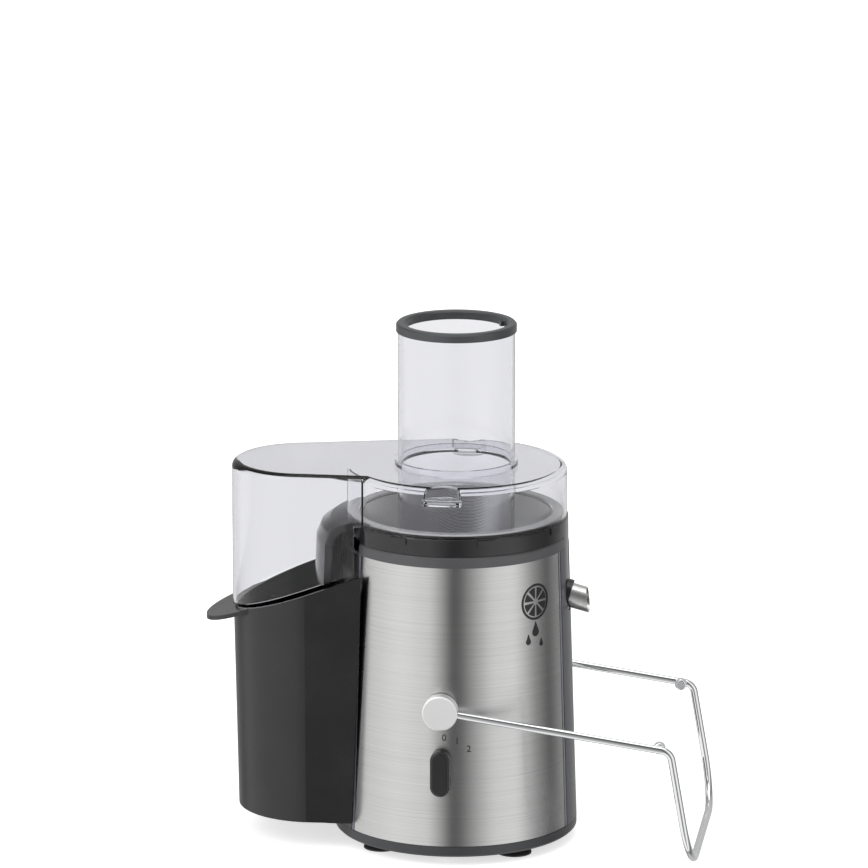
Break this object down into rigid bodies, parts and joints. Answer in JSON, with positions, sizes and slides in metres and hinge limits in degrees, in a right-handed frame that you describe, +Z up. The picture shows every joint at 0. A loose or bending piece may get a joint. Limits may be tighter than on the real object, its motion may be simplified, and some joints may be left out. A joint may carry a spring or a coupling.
{
  "type": "centrifugal juicer",
  "caption": "Centrifugal juicer with a tapered steel motor base, wire locking bail, mesh basket, juice bowl with spout, clear lid with feed tube, and a pulp container beside it.",
  "frame": {"origin": "where the basket's spin axis meets the table, under the suction feet", "axes": "+Z up along the spin axis and feed tube; -Y is the control side with the knob; +X is the juice spout side, -X the pulp container side"},
  "size_m": [0.3472, 0.179, 0.361],
  "materials": {
    "dark_plastic": "satin moulded plastic",
    "column_plastic": "satin moulded plastic",
    "rim_grey": "satin moulded plastic",
    "trim_grey": "glossy moulded strip",
    "black_plastic": "glossy moulded plastic",
    "black_satin": "satin moulded plastic",
    "ring_plastic": "satin moulded plastic",
    "white_plastic": "moulded nylon",
    "clear_plastic": "clear moulded plastic",
    "brushed_steel": "brushed round the drum",
    "basket_steel": "polished stainless sheet",
    "mesh_steel": "etched fine mesh",
    "chrome": "polished plating",
    "disc_metal": "satin",
    "plated_steel": "zinc plated",
    "lamination": "stacked sheet",
    "copper": "enamelled wire",
    "carbon": "pressed carbon",
    "rubber": "moulded rubber"
  },
  "bodies": {
    "base": {"inner_housing": "dark_plastic", "front_panel": "brushed_steel", "rear_panel": "brushed_steel", "trim_strips": "trim_grey", "left_column": "column_plastic", "right_column": "column_plastic", "rim_band": "rim_grey", "rear_collar": "rim_grey", "bottom_cover": "dark_plastic", "suction_feet": "rubber", "cover_screws": "plated_steel", "cord_grommet": "rubber", "pivot_bushes": "white_plastic", "stator_core": "lamination", "field_windings": "copper", "upper_bracket": "plated_steel", "lower_bracket": "plated_steel", "upper_bearing": "plated_steel", "lower_bearing": "plated_steel", "motor_mounts": "rubber", "motor_screws": "plated_steel", "frame_spacers": "plated_steel", "brush_holders": "white_plastic", "carbon_brushes": "carbon", "shaft_seal": "rubber", "speed_switch": "dark_plastic", "interlock_switch": "dark_plastic"},
    "drive": {"motor_shaft": "plated_steel", "armature_core": "lamination", "armature_windings": "copper", "commutator": "copper", "cooling_fan": "white_plastic", "drive_coupling": "dark_plastic"},
    "basket": {"basket_rim": "basket_steel", "mesh_cone": "mesh_steel", "grater_disc": "basket_steel", "basket_ring": "black_plastic", "basket_hub": "black_plastic", "drive_socket": "white_plastic", "basket_rivets": "basket_steel"},
    "bowl": {"juice_bowl": "black_plastic", "bowl_sleeve": "black_plastic", "bowl_awning": "black_plastic", "juice_spout": "basket_steel"},
    "lid": {"lid_cover": "clear_plastic", "feed_tube": "clear_plastic", "tube_ring": "ring_plastic"},
    "container": {"pulp_container": "black_satin"},
    "bail": {"bail_wire": "chrome", "bail_beads": "chrome", "pivot_discs": "disc_metal", "pivot_pins": "plated_steel", "pin_clips": "plated_steel", "interlock_cam": "white_plastic"},
    "knob": {"speed_knob": "black_satin"}
  },
  "joints": [
    {"name": "lid_lift", "type": "slide", "parent": "base", "child": "lid", "axis": [0, 0, 1], "range_m": [0, 0.206]},
    {"name": "bowl_lift", "type": "slide", "parent": "base", "child": "bowl", "axis": [0, 0, 1], "range_m": [0, 0.0772]},
    {"name": "basket_lift", "type": "slide", "parent": "drive", "child": "basket", "axis": [0, 0, 1], "range_m": [0, 0.1682]},
    {"name": "container_slide", "type": "slide", "parent": "base", "child": "container", "axis": [-1, 0, 0], "range_m": [0, 0.0402]},
    {"name": "motor_spin", "type": "hinge", "parent": "base", "child": "drive", "pos_m": [0, 0, 0.1], "axis": [0, 0, 1], "continuous": true},
    {"name": "bail_swing", "type": "hinge", "parent": "base", "child": "bail", "pos_m": [0, 0, 0.109], "axis": [0, 1, 0], "range_deg": [-98, 0]},
    {"name": "knob_turn", "type": "hinge", "parent": "base", "child": "knob", "pos_m": [0, -0.0823, 0.066], "axis": [0, -1, 0], "range_deg": [-48, 0]}
  ],
  "couplings": [
    {"joint": "bowl_lift", "follows": "lid_lift", "ratio": 0.374},
    {"joint": "basket_lift", "follows": "lid_lift", "ratio": 0.816},
    {"joint": "container_slide", "follows": "lid_lift", "ratio": 0.1945}
  ]
}
